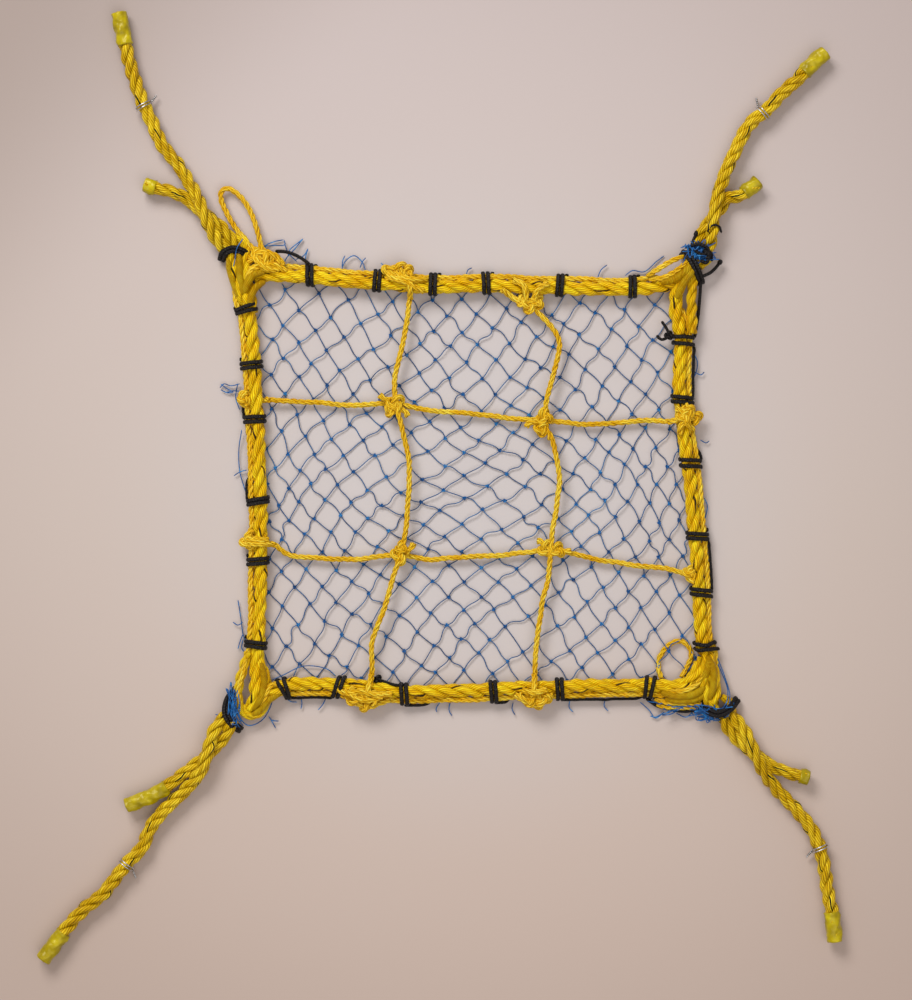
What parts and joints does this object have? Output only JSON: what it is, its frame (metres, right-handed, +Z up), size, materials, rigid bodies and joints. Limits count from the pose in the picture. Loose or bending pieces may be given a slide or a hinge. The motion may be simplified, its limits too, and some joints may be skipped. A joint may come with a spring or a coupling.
{
  "type": "folding crab trap",
  "caption": "Folding crab trap: square blue net in a yellow rope frame, black lashings, four rope legs with taped ends, lying flat",
  "frame": {"origin": "underside of the net, under the middle of the panel", "axes": "+Z up from the surface the trap lies on, +Y toward the side with the hanging loop (back), +X toward the right side, -X half folds over"},
  "size_m": [0.5325, 0.6291, 0.0142],
  "materials": {
    "rope": "yellow three-strand polypropylene rope, slightly shiny fibres, thin black tracer",
    "twine": "orange-yellow three-strand twine, slightly shiny fibres",
    "lashing": "black waxed braided twine",
    "net": "blue knotted net twine",
    "tape": "wrinkled greenish-yellow tape",
    "wire": "thin galvanised wire"
  },
  "bodies": {
    "right_half": {"corner_eye_back_right": "rope", "corner_eye_front_right": "rope", "corner_seizing_back_right": "lashing", "corner_seizing_front_right": "lashing", "crossing_knot_back_right": "twine", "crossing_knot_front_right": "twine", "crosswise_twine_back_right": "twine", "crosswise_twine_front_right": "twine", "edge_twine_back_right": "twine", "edge_twine_front_right": "twine", "edge_twine_right": "twine", "frame_rope_back_right": "rope", "frame_rope_front_right": "rope", "frame_rope_right": "rope", "lashing_back_right": "lashing", "lashing_front_right": "lashing", "lashing_right": "lashing", "lengthwise_twine_right": "twine", "net_loop_front_right": "twine", "net_right": "net"},
    "left_half": {"corner_eye_back_left": "rope", "corner_eye_front_left": "rope", "corner_seizing_back_left": "lashing", "corner_seizing_front_left": "lashing", "crossing_knot_back_left": "twine", "crossing_knot_front_left": "twine", "crosswise_twine_back_left": "twine", "crosswise_twine_front_left": "twine", "edge_twine_back_left": "twine", "edge_twine_front_left": "twine", "edge_twine_left": "twine", "frame_rope_back_left": "rope", "frame_rope_front_left": "rope", "frame_rope_left": "rope", "lashing_back_left": "lashing", "lashing_front_left": "lashing", "lashing_left": "lashing", "lengthwise_twine_left": "twine", "net_left": "net"},
    "leg_back_left": {"leg_rope_back_left": "rope", "leg_splice_back_left": "rope", "leg_tape_back_left": "tape", "tail_tape_back_left": "tape", "wire_tie_back_left": "wire"},
    "leg_back_right": {"leg_rope_back_right": "rope", "leg_splice_back_right": "rope", "leg_tape_back_right": "tape", "tail_tape_back_right": "tape", "wire_tie_back_right": "wire"},
    "leg_front_left": {"leg_rope_front_left": "rope", "leg_splice_front_left": "rope", "leg_tape_front_left": "tape", "tail_tape_front_left": "tape", "wire_tie_front_left": "wire"},
    "leg_front_right": {"leg_rope_front_right": "rope", "leg_splice_front_right": "rope", "leg_tape_front_right": "tape", "tail_tape_front_right": "tape", "wire_tie_front_right": "wire"},
    "hanging_loop": {"hanging_loop_back_left": "twine"}
  },
  "joints": [
    {"name": "fold", "type": "hinge", "parent": "right_half", "child": "left_half", "pos_m": [-0.008, 0, 0.0155], "axis": [0, -1, 0], "range_deg": [-170, 0]},
    {"name": "lift_back_left_leg", "type": "hinge", "parent": "left_half", "child": "leg_back_left", "pos_m": [-0.16551, 0.16584, 0.00725], "axis": [0.8083, 0.5888, 0], "range_deg": [0, 110]},
    {"name": "lift_back_right_leg", "type": "hinge", "parent": "right_half", "child": "leg_back_right", "pos_m": [0.15268, 0.16154, 0.00725], "axis": [0.9117, -0.4108, 0], "range_deg": [0, 110]},
    {"name": "lift_front_left_leg", "type": "hinge", "parent": "left_half", "child": "leg_front_left", "pos_m": [-0.16614, -0.1623, 0.00725], "axis": [-0.8366, 0.5478, 0], "range_deg": [0, 110]},
    {"name": "lift_front_right_leg", "type": "hinge", "parent": "right_half", "child": "leg_front_right", "pos_m": [0.17453, -0.16067, 0.00725], "axis": [-0.8164, -0.5775, 0], "range_deg": [0, 110]},
    {"name": "swing_hanging_loop", "type": "hinge", "parent": "left_half", "child": "hanging_loop", "pos_m": [-0.1375, 0.1585, 0.00725], "axis": [0.8083, 0.5888, 0], "range_deg": [0, 110]}
  ]
}
